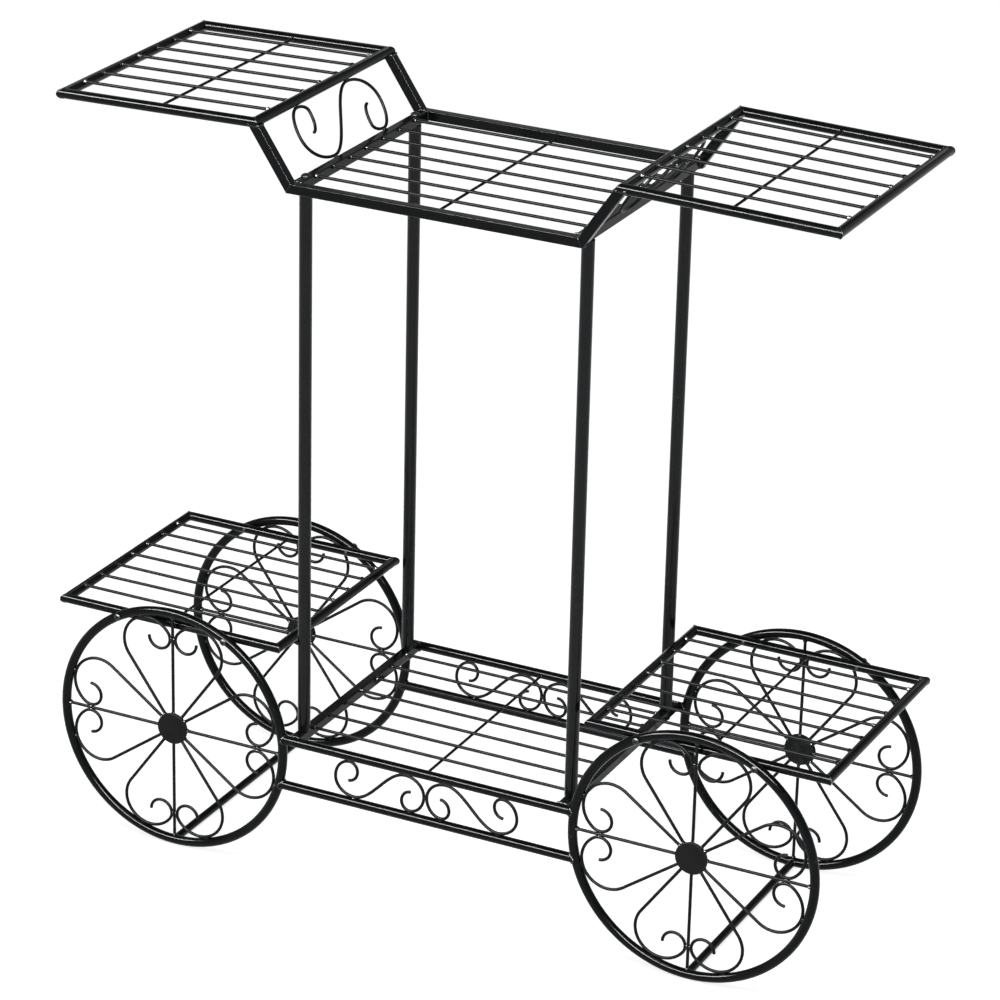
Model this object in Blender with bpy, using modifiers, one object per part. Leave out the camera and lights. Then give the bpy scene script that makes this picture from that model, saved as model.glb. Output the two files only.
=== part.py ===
"""Plant trolley: a six-tray cart for potted plants, standing on four fixed ornamental wheels.

Metres, +Z up. X runs along the cart, Y across it from front (-Y) to back (+Y), and the origin is
on the floor under the middle. Every joint is welded or bolted, so nothing on the cart moves.
Pieces that touch keep JOINT_GAP between their surfaces, and wires that are welded into one piece
overlap by WELD_DEPTH.
"""
import math

import bmesh
import bpy
from mathutils import Matrix, Vector

# ---- Driving dimensions ----------------------------------------------------------------------
JOINT_GAP = 0.0003
WELD_DEPTH = 0.0005

# Stock: the side of the square tube and the diameters of the round stock.
FRAME_BAR = 0.0100
UPPER_TRAY_TUBE = 0.0100
SIDE_TRAY_TUBE = 0.0095
RAIL_TUBE = 0.0095
RIM_TUBE = 0.0095
FLOOR_TUBE = 0.0080
FLOOR_TUBE_CLEARANCE = 0.00075
POST_TUBE = 0.0127
TRAY_WIRE = 0.0032
CROSS_WIRE = 0.0028
SCROLL_WIRE = 0.0032

# Top frame, along its bar axes.
CART_WIDTH = 0.2648
CENTRE_TRAY_LENGTH = 0.3024
SLOPE_RUN = 0.0388
SLOPE_RISE = 0.0573
SLOPE_SCROLL_LENGTH = 0.1560
UPPER_TRAY_LENGTH = 0.2100
UPPER_TRAY_FALL = 0.0051
UPPER_TRAY_BEND = 0.0070

# Posts.
POST_LENGTH = 0.5675
POST_INSET_X = 0.0039
POST_INSET_Y = 0.0223

# Wheels.
WHEEL_DIAMETER = 0.2616
WHEEL_PAST_POST = 0.0078
TRACK_STEP_IN = 0.0018
HUB_PLATE_DIAMETER = 0.0335
HUB_PLATE_THICKNESS = 0.0012
HUB_BOSS_DIAMETER = 0.0310
HUB_BOSS_COVER = 0.0002
WHEEL_SCROLL_LEG_ANGLE = math.radians(35.8)
WHEEL_SCROLL_HOOK_RADIUS = 0.0120

# Bottom tray, side panels and side trays.
BOTTOM_TRAY_ABOVE_HUB = 0.0173
RAIL_SPACING = 0.0500
PANEL_SCROLL_LENGTH = 0.0985
SIDE_TRAY_LENGTH = 0.2445
SIDE_TRAY_BELOW_RIM_TOP = 0.0204
SIDE_TRAY_POST_CLEARANCE = 0.0129
SIDE_TRAY_BEND = 0.0075

# Tray grids: wires in each tray, and the height of a wire's axis above the axis of its frame.
WIRES_PER_TRAY = 7
WIRE_RISE = 0.0032

# Fasteners: M5 post bolts and M4 tray bolts, in tapped holes.
POST_BOLT = 0.0050
POST_BOLT_HEAD = 0.0096
POST_BOLT_HEAD_HEIGHT = 0.0030
POST_BOLT_GRIP = 0.0100
TRAY_BOLT = 0.0040
TRAY_BOLT_HEAD = 0.0072
TRAY_BOLT_HEAD_HEIGHT = 0.0022
BOLT_CLEARANCE = 0.0003

# Facets.
RIM_SEGMENTS = 40
RIM_TUBE_SEGMENTS = 8
TUBE_SMOOTHNESS = 2
WIRE_SMOOTHNESS = 1
BOLT_STEPS = 8
POST_STEPS = 16
HUB_SEGMENTS = 24

# ---- Derived places --------------------------------------------------------------------------
CENTRE_END = CENTRE_TRAY_LENGTH / 2
STEP_X = CENTRE_END + SLOPE_RUN
TOP_END = STEP_X + UPPER_TRAY_LENGTH
SIDE_Y = CART_WIDTH / 2
POST_X = CENTRE_END - POST_INSET_X
POST_Y = SIDE_Y - POST_INSET_Y

RIM_RADIUS = WHEEL_DIAMETER / 2 - RIM_TUBE / 2
RIM_INNER = (RIM_RADIUS - RIM_TUBE / 2) * math.cos(math.pi / RIM_SEGMENTS)
WHEEL_X = POST_X + WHEEL_PAST_POST + WHEEL_DIAMETER / 2
WHEEL_Y = SIDE_Y - TRACK_STEP_IN
WHEEL_Z = WHEEL_DIAMETER / 2
HUB_BOSS_THICKNESS = SCROLL_WIRE + 2 * HUB_BOSS_COVER

BOTTOM_Z = WHEEL_Z + BOTTOM_TRAY_ABOVE_HUB
LOWER_RAIL_Z = BOTTOM_Z - RAIL_SPACING
POST_FOOT_Z = BOTTOM_Z + FRAME_BAR / 2 + JOINT_GAP
POST_HEAD_Z = POST_FOOT_Z + POST_LENGTH
CENTRE_Z = POST_HEAD_Z + JOINT_GAP + FRAME_BAR / 2
STEP_Z = CENTRE_Z + SLOPE_RISE

SIDE_TRAY_Z = WHEEL_DIAMETER - SIDE_TRAY_BELOW_RIM_TOP
SIDE_TRAY_Y = WHEEL_Y - RIM_TUBE / 2 - SIDE_TRAY_TUBE / 2 - JOINT_GAP
SIDE_TRAY_START = POST_X + POST_TUBE / 2 + SIDE_TRAY_POST_CLEARANCE + SIDE_TRAY_TUBE / 2
SIDE_TRAY_END = SIDE_TRAY_START + SIDE_TRAY_LENGTH
TRAY_BOLT_REACH = math.sqrt(RIM_RADIUS ** 2 - (SIDE_TRAY_Z - WHEEL_Z) ** 2)

SIDES = {"left": -1, "right": 1}
FACES = {"front": -1, "back": 1}
HALF_TURN = math.pi
QUARTER_TURN = math.pi / 2


# ---- Scene set-up ----------------------------------------------------------------------------
def clear_scene():
    for old in list(bpy.data.objects):
        bpy.data.objects.remove(old, do_unlink=True)


def new_collection(name):
    collection = bpy.data.collections.new(name)
    bpy.context.scene.collection.children.link(collection)
    return collection


def paint(name, colour, roughness, metallic):
    material = bpy.data.materials.new(name)
    material.use_nodes = True
    shader = material.node_tree.nodes["Principled BSDF"]
    shader.inputs["Base Color"].default_value = (*colour, 1.0)
    shader.inputs["Roughness"].default_value = roughness
    shader.inputs["Metallic"].default_value = metallic
    return material


clear_scene()
PARTS = new_collection("plant_trolley")
CUTTERS = new_collection("plant_trolley_cutters")
FRAME_PAINT = paint("frame_gloss_black", (0.012, 0.013, 0.015), 0.22, 0.0)
WIRE_PAINT = paint("wire_gloss_black", (0.014, 0.015, 0.016), 0.32, 0.0)
HUB_PAINT = paint("hub_satin_black", (0.010, 0.010, 0.011), 0.50, 0.0)
BOLT_FINISH = paint("bolt_black_oxide", (0.020, 0.020, 0.022), 0.38, 0.6)


# ---- Building helpers ------------------------------------------------------------------------
def add_object(name, data, material, collection=PARTS):
    obj = bpy.data.objects.new(name, data)
    collection.objects.link(obj)
    if material:
        data.materials.append(material)
    return obj


def mesh_object(name, bm, material, collection=PARTS):
    mesh = bpy.data.meshes.new(name)
    bm.to_mesh(mesh)
    bm.free()
    return add_object(name, mesh, material, collection)


def smooth(obj):
    obj.data.shade_smooth()
    obj.data.set_sharp_from_angle(angle=math.radians(40))


def tube(name, paths, diameter, smoothness, material, cyclic=False):
    """Round stock along one or more paths, each a list of points."""
    curve = bpy.data.curves.new(name, "CURVE")
    curve.dimensions = "3D"
    curve.bevel_depth = diameter / 2
    curve.bevel_resolution = smoothness
    curve.use_fill_caps = True
    for path in paths:
        spline = curve.splines.new("POLY")
        spline.points.add(len(path) - 1)
        for point, place in zip(spline.points, path):
            point.co = (*place, 1.0)
        spline.use_cyclic_u = cyclic
    return add_object(name, curve, material)


def as_mesh(obj, collection=PARTS):
    """The same piece as a mesh with its end caps welded on, so that it can be cut or joined."""
    evaluated = obj.evaluated_get(bpy.context.evaluated_depsgraph_get())
    mesh = bpy.data.meshes.new_from_object(evaluated)
    bm = bmesh.new()
    bm.from_mesh(mesh)
    bmesh.ops.remove_doubles(bm, verts=bm.verts, dist=1e-6)
    bm.to_mesh(mesh)
    bm.free()
    name = obj.name
    place = obj.matrix_world.copy()
    bpy.data.objects.remove(obj, do_unlink=True)
    solid = bpy.data.objects.new(name, mesh)
    solid.matrix_world = place
    collection.objects.link(solid)
    smooth(solid)
    return solid


def combine(obj, other, operation):
    """A Boolean of obj with other, which is then only a guide."""
    other.display_type = "WIRE"
    other.hide_render = True
    joint = obj.modifiers.new(operation.lower(), "BOOLEAN")
    joint.operation = operation
    joint.solver = "EXACT"
    joint.object = other


def cylinder(bm, start, end, radius, segments):
    """A closed cylinder from start to end, added to a mesh."""
    start = Vector(start)
    end = Vector(end)
    turn = (end - start).to_track_quat("Z", "Y").to_matrix().to_4x4()
    bmesh.ops.create_cone(bm, cap_ends=True, segments=segments, radius1=radius, radius2=radius,
                          depth=(end - start).length,
                          matrix=Matrix.Translation((start + end) / 2) @ turn)


def drill(obj, lines, bolt_diameter):
    """Clearance holes for a bolt, one along each line."""
    bm = bmesh.new()
    for start, end in lines:
        cylinder(bm, start, end, bolt_diameter / 2 + BOLT_CLEARANCE, BOLT_STEPS)
    combine(obj, mesh_object(obj.name + "_holes", bm, None, CUTTERS), "DIFFERENCE")


def turned(name, profile, place, steps, material):
    """A turned piece: its profile of (radius, height) points runs top to bottom down its outside."""
    bm = bmesh.new()
    verts = [bm.verts.new((radius, 0, height)) for radius, height in profile]
    for first, second in zip(verts, verts[1:]):
        bm.edges.new((first, second))
    obj = mesh_object(name, bm, material)
    screw = obj.modifiers.new("turn", "SCREW")
    screw.steps = steps
    screw.render_steps = steps
    screw.use_merge_vertices = True
    screw.merge_threshold = 0.00001
    obj.matrix_world = place


# ---- Shapes of the wire work -----------------------------------------------------------------
def quarter_ellipse(start, end, leaves_along_u, steps):
    """A quarter of an ellipse from start to end, without its first point.

    It leaves start along the first axis and arrives along the second, or the other way round.
    """
    points = []
    for step in range(1, steps + 1):
        rising = math.sin(QUARTER_TURN * step / steps)
        falling = math.cos(QUARTER_TURN * step / steps)
        if leaves_along_u:
            u = start[0] + (end[0] - start[0]) * rising
            v = end[1] + (start[1] - end[1]) * falling
        else:
            u = end[0] + (start[0] - end[0]) * falling
            v = start[1] + (end[1] - start[1]) * rising
        points.append((u, v))
    return points


def s_scroll(length, height, crest, foot, hook, tip):
    """An S scroll with a curled hook at each end, the same when turned half round.

    From its middle it swings up along a sine to the crest, goes round the end and along the foot,
    and curls in by the hook to the tip. Places are shares of half the length and half the height.
    """
    a = length / 2
    h = height / 2
    swing_steps = 3
    half = []
    for step in range(1, swing_steps + 1):
        share = step / swing_steps
        half.append((a * crest * share, h * math.sin(QUARTER_TURN * share)))
    end = (a, 0.0)
    low = (a * foot, -h)
    inner = (a * hook[0], h * hook[1])
    last = (a * tip[0], h * tip[1])
    half += quarter_ellipse(half[-1], end, True, 3)
    half += quarter_ellipse(end, low, False, 3)
    half += quarter_ellipse(low, inner, True, 2)
    half += quarter_ellipse(inner, last, False, 2)
    other = [(-u, -v) for u, v in reversed(half)]
    return other + [(0.0, 0.0)] + half


def arc(centre, radius, start, end, steps):
    """Points on a circle from angle start to angle end, without the first point."""
    points = []
    for step in range(1, steps + 1):
        angle = start + (end - start) * step / steps
        points.append((centre[0] + radius * math.cos(angle), centre[1] + radius * math.sin(angle)))
    return points


def wheel_scroll(leg_start):
    """One scroll spoke as (out, across) points, beside the straight spoke along the first axis.

    A straight leg leaves the hub at the leg angle from the spoke, a big arc swells out to touch
    the rim and comes back to the spoke, and a small arc inside the big one curls in. The big
    arc's centre lies halfway between leg and spoke, as far from each as its radius, and the small
    arc just touches the spoke.
    """
    farthest = RIM_INNER - SCROLL_WIRE / 2 - JOINT_GAP
    lean = math.sin(WHEEL_SCROLL_LEG_ANGLE / 2)
    reach = farthest / (1 + lean)
    big = reach * lean
    small = WHEEL_SCROLL_HOOK_RADIUS
    leg_end = math.sqrt(reach ** 2 - big ** 2)
    big_centre = (leg_end, big)
    small_v = small + SCROLL_WIRE + JOINT_GAP
    small_u = leg_end + math.sqrt((big - small) ** 2 - (big - small_v) ** 2)
    join_angle = math.atan2(small_v - big, small_u - leg_end)
    points = []
    for distance in (leg_start, leg_end):
        points.append((distance * math.cos(WHEEL_SCROLL_LEG_ANGLE),
                       distance * math.sin(WHEEL_SCROLL_LEG_ANGLE)))
    points += arc(big_centre, big, WHEEL_SCROLL_LEG_ANGLE + QUARTER_TURN, join_angle, 7)
    points += arc((small_u, small_v), small, join_angle, -3 * QUARTER_TURN, 4)
    return points


def rounded_rectangle(x0, x1, half_y, bend, steps=3):
    """Corners of radius bend on a rectangle from x0 to x1 and from -half_y to half_y."""
    low, high = sorted((x0, x1))
    corners = [(high - bend, half_y - bend), (low + bend, half_y - bend),
               (low + bend, bend - half_y), (high - bend, bend - half_y)]
    points = []
    for quarter, (x, y) in enumerate(corners):
        for step in range(steps + 1):
            angle = QUARTER_TURN * (quarter + step / steps)
            points.append((x + bend * math.cos(angle), y + bend * math.sin(angle)))
    return points


# ---- Trays -----------------------------------------------------------------------------------
def tray_grid(name, x0, x1, bar_y, cross_end, height):
    """Seven wires along X evenly spaced between two side bars, on one wire across their middle.

    height gives the frame's axis at each x. The cross wire lies under the others, welded to them.
    """
    paths = []
    for index in range(1, WIRES_PER_TRAY + 1):
        y = bar_y * (2 * index / (WIRES_PER_TRAY + 1) - 1)
        paths.append([(x, y, height(x) + WIRE_RISE) for x in (x0, x1)])
    grid = as_mesh(tube(name, paths, TRAY_WIRE, WIRE_SMOOTHNESS, WIRE_PAINT))
    middle = (x0 + x1) / 2
    z = height(middle) + WIRE_RISE - TRAY_WIRE / 2 - CROSS_WIRE / 2 + WELD_DEPTH
    across = [(middle, -cross_end, z), (middle, cross_end, z)]
    cross = as_mesh(tube(name + "_cross_wire", [across], CROSS_WIRE, WIRE_SMOOTHNESS, WIRE_PAINT),
                    CUTTERS)
    combine(grid, cross, "UNION")


def upper_tray_height(x):
    """Height of an upper tray's frame axis, which falls a little towards its outer end."""
    return STEP_Z - UPPER_TRAY_FALL * (abs(x) - STEP_X) / UPPER_TRAY_LENGTH


def upper_tray(side):
    sign = SIDES[side]
    clear = UPPER_TRAY_TUBE / 2 + JOINT_GAP
    outline = rounded_rectangle(sign * STEP_X, sign * TOP_END, SIDE_Y, UPPER_TRAY_BEND)
    path = [(x, y, upper_tray_height(x)) for x, y in outline]
    tube(f"upper_tray_frame_{side}", [path], UPPER_TRAY_TUBE, TUBE_SMOOTHNESS, FRAME_PAINT, True)
    tray_grid(f"upper_tray_grid_{side}", sign * (STEP_X + clear), sign * (TOP_END - clear), SIDE_Y,
              SIDE_Y - clear, upper_tray_height)


def tray_bolt_lines(side):
    """Lines along Y through the rims and the side tray, where the tray passes each rim."""
    lines = []
    for way in FACES.values():
        for reach in (-TRAY_BOLT_REACH, TRAY_BOLT_REACH):
            x = SIDES[side] * WHEEL_X + reach
            inside = (x, way * (SIDE_TRAY_Y - SIDE_TRAY_TUBE), SIDE_TRAY_Z)
            outside = (x, way * (WHEEL_Y + RIM_TUBE), SIDE_TRAY_Z)
            lines.append((inside, outside))
    return lines


def side_tray(side):
    sign = SIDES[side]
    clear = SIDE_TRAY_TUBE / 2 + JOINT_GAP
    outline = rounded_rectangle(sign * SIDE_TRAY_START, sign * SIDE_TRAY_END, SIDE_TRAY_Y,
                                SIDE_TRAY_BEND)
    path = [(x, y, SIDE_TRAY_Z) for x, y in outline]
    frame = tube(f"side_tray_frame_{side}", [path], SIDE_TRAY_TUBE, TUBE_SMOOTHNESS, FRAME_PAINT,
                 True)
    drill(as_mesh(frame), tray_bolt_lines(side), TRAY_BOLT)
    tray_grid(f"side_tray_grid_{side}", sign * (SIDE_TRAY_START + clear),
              sign * (SIDE_TRAY_END - clear), SIDE_TRAY_Y, SIDE_TRAY_Y - clear,
              lambda x: SIDE_TRAY_Z)


# ---- Top frame -------------------------------------------------------------------------------
def side_member(face):
    """Square tube down one slope, along the centre tray and up the other slope, with mitred bends.

    Its outline in XZ is the bar's width measured square to each stretch, cut level under the
    upper trays, and it is as thick across the cart as it is wide.
    """
    half = FRAME_BAR / 2
    steepness = SLOPE_RISE / SLOPE_RUN
    mitre = half * math.tan(math.atan(steepness) / 2)
    top_z = upper_tray_height(STEP_X + UPPER_TRAY_BEND) - UPPER_TRAY_TUBE / 2 - JOINT_GAP
    inner_top_x = CENTRE_END - mitre + (top_z - CENTRE_Z - half) / steepness
    outer_top_x = CENTRE_END + mitre + (top_z - CENTRE_Z + half) / steepness
    right = [(CENTRE_END + mitre, CENTRE_Z - half), (outer_top_x, top_z), (inner_top_x, top_z),
             (CENTRE_END - mitre, CENTRE_Z + half)]
    left = [(-x, z) for x, z in reversed(right)]
    curve = bpy.data.curves.new(f"side_member_{face}", "CURVE")
    curve.dimensions = "2D"
    curve.fill_mode = "BOTH"
    curve.extrude = half
    spline = curve.splines.new("POLY")
    spline.points.add(len(right + left) - 1)
    for point, (x, z) in zip(spline.points, right + left):
        point.co = (x, z, 0.0, 1.0)
    spline.use_cyclic_u = True
    member = add_object(f"side_member_{face}", curve, FRAME_PAINT)
    member.rotation_euler = (QUARTER_TURN, 0, 0)
    member.location = (0, FACES[face] * SIDE_Y, 0)


def slope_scroll(side):
    """S scroll that fills the slope between the centre tray's cross bar and the upper tray."""
    sign = SIDES[side]
    low = Vector((sign * CENTRE_END, 0, CENTRE_Z))
    high = Vector((sign * STEP_X, 0, STEP_Z))
    uphill = (high - low).normalized()
    clear = SCROLL_WIRE / 2 + JOINT_GAP
    bar_edge_x = POST_X + FRAME_BAR / 2 - CENTRE_END
    bar_edge_along = bar_edge_x * abs(uphill.x) + FRAME_BAR / 2 * uphill.z
    bar_edge_off = abs(bar_edge_x * uphill.z - FRAME_BAR / 2 * abs(uphill.x))
    foot = bar_edge_along + math.sqrt(max(0.0, clear ** 2 - bar_edge_off ** 2))
    head = (high - low).length - UPPER_TRAY_TUBE / 2 - clear
    middle = low + uphill * (foot + head) / 2
    outline = s_scroll(SLOPE_SCROLL_LENGTH, head - foot, 0.51, 0.75, (0.54, -0.70), (0.68, 0.0))
    path = [middle + Vector((0, u, 0)) + uphill * v for u, v in outline]
    tube(f"slope_scroll_{side}", [path], SCROLL_WIRE, WIRE_SMOOTHNESS, WIRE_PAINT)


def cross_bar(name, side, z, half_y):
    """Square bar across the cart over or under two posts, drilled for their bolts."""
    x = SIDES[side] * POST_X
    bm = bmesh.new()
    bmesh.ops.create_cube(bm, size=1.0)
    bmesh.ops.scale(bm, vec=(FRAME_BAR, 2 * half_y, FRAME_BAR), verts=bm.verts)
    bmesh.ops.translate(bm, vec=(x, 0, z), verts=bm.verts)
    bar = mesh_object(name, bm, FRAME_PAINT)
    lines = []
    for way in FACES.values():
        y = way * POST_Y
        lines.append(((x, y, z - FRAME_BAR), (x, y, z + FRAME_BAR)))
    drill(bar, lines, POST_BOLT)


def centre_tray():
    inner_y = SIDE_Y - FRAME_BAR / 2 - JOINT_GAP
    for face in FACES:
        side_member(face)
    for side in SIDES:
        cross_bar(f"centre_cross_bar_{side}", side, CENTRE_Z, inner_y)
    end = POST_X - FRAME_BAR / 2 - JOINT_GAP
    tray_grid("centre_tray_grid", -end, end, SIDE_Y, inner_y, lambda x: CENTRE_Z)


# ---- Posts and their bolts -------------------------------------------------------------------
def posts():
    """Four posts with a tapped hole in each end, standing on the bottom cross bars."""
    outer = POST_TUBE / 2
    bore = POST_BOLT / 2 + BOLT_CLEARANCE
    half = POST_LENGTH / 2
    hole_end = half - POST_BOLT_GRIP - 4 * JOINT_GAP
    profile = [(0.0, hole_end), (bore, hole_end), (bore, half), (outer, half),
               (outer, -half), (bore, -half), (bore, -hole_end), (0.0, -hole_end)]
    for side, sign in SIDES.items():
        for face, way in FACES.items():
            place = Matrix.Translation((sign * POST_X, way * POST_Y, POST_FOOT_Z + half))
            turned(f"post_{side}_{face}", profile, place, POST_STEPS, FRAME_PAINT)


def bolt_profile(shank, length, head, head_height):
    """A pan-head bolt with its head's seat at height 0."""
    return [(0.0, head_height), (head * 0.30, head_height * 0.90), (head * 0.46, head_height * 0.55),
            (head * 0.50, 0.0), (shank / 2, 0.0), (shank / 2, -length), (0.0, -length)]


def post_bolts():
    """A bolt down through the centre cross bar into every post, and one up through the bottom."""
    lift = FRAME_BAR + 2 * JOINT_GAP
    profile = bolt_profile(POST_BOLT, lift + POST_BOLT_GRIP, POST_BOLT_HEAD, POST_BOLT_HEAD_HEIGHT)
    for side, sign in SIDES.items():
        for face, way in FACES.items():
            x = sign * POST_X
            y = way * POST_Y
            top = Matrix.Translation((x, y, POST_HEAD_Z + lift))
            foot = Matrix.Translation((x, y, POST_FOOT_Z - lift))
            foot = foot @ Matrix.Rotation(HALF_TURN, 4, "X")
            turned(f"post_top_bolt_{side}_{face}", profile, top, BOLT_STEPS, BOLT_FINISH)
            turned(f"post_foot_bolt_{side}_{face}", profile, foot, BOLT_STEPS, BOLT_FINISH)


# ---- Bottom tray and side panels -------------------------------------------------------------
def rail_end(offset):
    """Half the length of a rail whose axis is offset in height from the wheels' centres."""
    nearest = max(0.0, abs(offset) - RAIL_TUBE / 2)
    return WHEEL_X - math.sqrt((WHEEL_DIAMETER / 2) ** 2 - nearest ** 2) - JOINT_GAP


def bottom_tray():
    for face, way in FACES.items():
        for level, z in (("upper", BOTTOM_Z), ("lower", LOWER_RAIL_Z)):
            end = rail_end(z - WHEEL_Z)
            path = [(-end, way * WHEEL_Y, z), (end, way * WHEEL_Y, z)]
            tube(f"rail_{face}_{level}", [path], RAIL_TUBE, TUBE_SMOOTHNESS, FRAME_PAINT)
    inner_y = WHEEL_Y - RAIL_TUBE / 2 - JOINT_GAP
    for side in SIDES:
        cross_bar(f"bottom_cross_bar_{side}", side, BOTTOM_Z, inner_y)
    end = POST_X - FRAME_BAR / 2 - JOINT_GAP
    tray_grid("bottom_tray_grid", -end, end, WHEEL_Y, inner_y, lambda x: BOTTOM_Z)


def panel_scrolls(face):
    """Two S scrolls between the rails of one side, mirror images that meet in the middle."""
    height = RAIL_SPACING - RAIL_TUBE - SCROLL_WIRE - 2 * JOINT_GAP
    middle_z = (BOTTOM_Z + LOWER_RAIL_Z) / 2
    middle_x = (PANEL_SCROLL_LENGTH + SCROLL_WIRE + JOINT_GAP) / 2
    outline = s_scroll(PANEL_SCROLL_LENGTH, height, 0.58, 0.68, (0.50, -0.48), (0.70, 0.10))
    y = FACES[face] * WHEEL_Y
    for side, sign in SIDES.items():
        path = [(sign * (middle_x - u), y, middle_z + v) for u, v in outline]
        tube(f"panel_scroll_{face}_{side}", [path], SCROLL_WIRE, WIRE_SMOOTHNESS, WIRE_PAINT)


# ---- Wheels ----------------------------------------------------------------------------------
def wheel_centre(side, face):
    return Vector((SIDES[side] * WHEEL_X, FACES[face] * WHEEL_Y, WHEEL_Z))


def wheel_rim(side, face):
    """Round tube bent to a ring, drilled for the two bolts of the side tray."""
    bpy.ops.mesh.primitive_torus_add(
        major_radius=RIM_RADIUS, minor_radius=RIM_TUBE / 2, major_segments=RIM_SEGMENTS,
        minor_segments=RIM_TUBE_SEGMENTS, rotation=(QUARTER_TURN, 0, 0),
        location=wheel_centre(side, face))
    rim = bpy.context.object
    rim.name = f"wheel_rim_{side}_{face}"
    rim.data.materials.append(FRAME_PAINT)
    for collection in list(rim.users_collection):
        collection.objects.unlink(rim)
    PARTS.objects.link(rim)
    smooth(rim)
    lines = [line for line in tray_bolt_lines(side) if line[0][1] * FACES[face] > 0]
    drill(rim, lines, TRAY_BOLT)


def wheel_spider(side, face):
    """Hub boss with four straight spokes and a scroll on each side of each, welded into one."""
    centre = wheel_centre(side, face)
    name = f"wheel_spider_{side}_{face}"
    bm = bmesh.new()
    half = Vector((0, HUB_BOSS_THICKNESS / 2, 0))
    cylinder(bm, centre - half, centre + half, HUB_BOSS_DIAMETER / 2, HUB_SEGMENTS)
    boss = mesh_object(name, bm, WIRE_PAINT)
    start = HUB_BOSS_DIAMETER / 2 - 5 * WELD_DEPTH
    end = RIM_INNER - JOINT_GAP
    scroll = wheel_scroll(start)
    paths = []
    for quarter in range(4):
        angle = QUARTER_TURN * quarter
        out = Vector((math.cos(angle), 0, math.sin(angle)))
        across = Vector((-math.sin(angle), 0, math.cos(angle)))
        paths.append([centre + out * start, centre + out * end])
        for hand in (-1, 1):
            paths.append([centre + out * u + across * (hand * v) for u, v in scroll])
    wires = tube(name + "_wires", paths, SCROLL_WIRE, WIRE_SMOOTHNESS, WIRE_PAINT)
    combine(boss, as_mesh(wires, CUTTERS), "UNION")


def hub_plate(side, face):
    """Round cover plate on the outside of the hub boss."""
    way = FACES[face]
    inside = HUB_BOSS_THICKNESS / 2 + JOINT_GAP
    centre = wheel_centre(side, face)
    bm = bmesh.new()
    cylinder(bm, centre + Vector((0, way * inside, 0)),
             centre + Vector((0, way * (inside + HUB_PLATE_THICKNESS), 0)),
             HUB_PLATE_DIAMETER / 2, HUB_SEGMENTS)
    plate = mesh_object(f"hub_plate_{side}_{face}", bm, HUB_PAINT)
    smooth(plate)


def floor_tube(side):
    """Round tube that ties the front and the back rim together where they stand on the floor."""
    x = SIDES[side] * WHEEL_X
    z = FLOOR_TUBE / 2 + FLOOR_TUBE_CLEARANCE
    end = WHEEL_Y - RIM_TUBE / 2 - JOINT_GAP
    tube(f"floor_tube_{side}", [[(x, -end, z), (x, end, z)]], FLOOR_TUBE, TUBE_SMOOTHNESS,
         FRAME_PAINT)


def tray_bolts():
    """Bolts from outside each rim into tapped holes through the side tray's frame."""
    outside = WHEEL_Y + RIM_TUBE / 2 + JOINT_GAP
    length = outside - SIDE_TRAY_Y + SIDE_TRAY_TUBE / 2
    profile = bolt_profile(TRAY_BOLT, length, TRAY_BOLT_HEAD, TRAY_BOLT_HEAD_HEIGHT)
    for side, sign in SIDES.items():
        for face, way in FACES.items():
            turn = Matrix.Rotation(-way * QUARTER_TURN, 4, "X")
            for end, reach in (("inner", -TRAY_BOLT_REACH), ("outer", TRAY_BOLT_REACH)):
                x = sign * (WHEEL_X + reach)
                place = Matrix.Translation((x, way * outside, SIDE_TRAY_Z)) @ turn
                turned(f"tray_bolt_{side}_{face}_{end}", profile, place, BOLT_STEPS, BOLT_FINISH)


# ---- The whole cart --------------------------------------------------------------------------
centre_tray()
posts()
post_bolts()
bottom_tray()
tray_bolts()
for side_name in SIDES:
    upper_tray(side_name)
    side_tray(side_name)
    slope_scroll(side_name)
    floor_tube(side_name)
    for face_name in FACES:
        wheel_rim(side_name, face_name)
        wheel_spider(side_name, face_name)
        hub_plate(side_name, face_name)
for face_name in FACES:
    panel_scrolls(face_name)
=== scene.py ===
"""Plant trolley: its black painted tube, wire, welds and bolts, as finished surfaces on the frame.

Metres, +Z up, X along the cart, Y from front to back. Places come from the frame's boxes, and the
gauges of the stock and the shapes of the wire work are named below. Every piece is a closed skin
worked out on a grid: a profile carried along a path, or a profile spun about an axis.
"""
import math

import bpy
import numpy as np
from mathutils import Matrix, Vector


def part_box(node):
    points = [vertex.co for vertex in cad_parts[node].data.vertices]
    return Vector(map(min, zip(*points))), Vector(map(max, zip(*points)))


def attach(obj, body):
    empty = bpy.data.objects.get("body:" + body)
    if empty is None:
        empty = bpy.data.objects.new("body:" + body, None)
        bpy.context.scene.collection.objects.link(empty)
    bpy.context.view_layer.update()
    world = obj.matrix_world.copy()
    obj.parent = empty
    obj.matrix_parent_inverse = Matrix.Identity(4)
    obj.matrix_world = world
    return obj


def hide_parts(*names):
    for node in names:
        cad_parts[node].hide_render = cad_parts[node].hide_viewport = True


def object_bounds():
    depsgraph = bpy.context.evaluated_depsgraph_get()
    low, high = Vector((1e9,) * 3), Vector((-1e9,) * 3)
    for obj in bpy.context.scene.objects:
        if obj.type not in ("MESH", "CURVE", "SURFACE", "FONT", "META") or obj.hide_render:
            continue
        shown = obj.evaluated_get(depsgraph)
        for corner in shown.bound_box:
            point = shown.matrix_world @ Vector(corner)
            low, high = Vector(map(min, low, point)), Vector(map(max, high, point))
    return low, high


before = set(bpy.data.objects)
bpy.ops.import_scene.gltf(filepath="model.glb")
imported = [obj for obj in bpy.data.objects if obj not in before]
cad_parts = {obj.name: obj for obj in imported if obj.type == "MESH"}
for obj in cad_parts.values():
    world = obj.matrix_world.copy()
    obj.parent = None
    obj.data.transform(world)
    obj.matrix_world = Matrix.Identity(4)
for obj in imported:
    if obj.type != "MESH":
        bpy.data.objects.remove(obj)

CAD_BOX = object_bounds()
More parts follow.
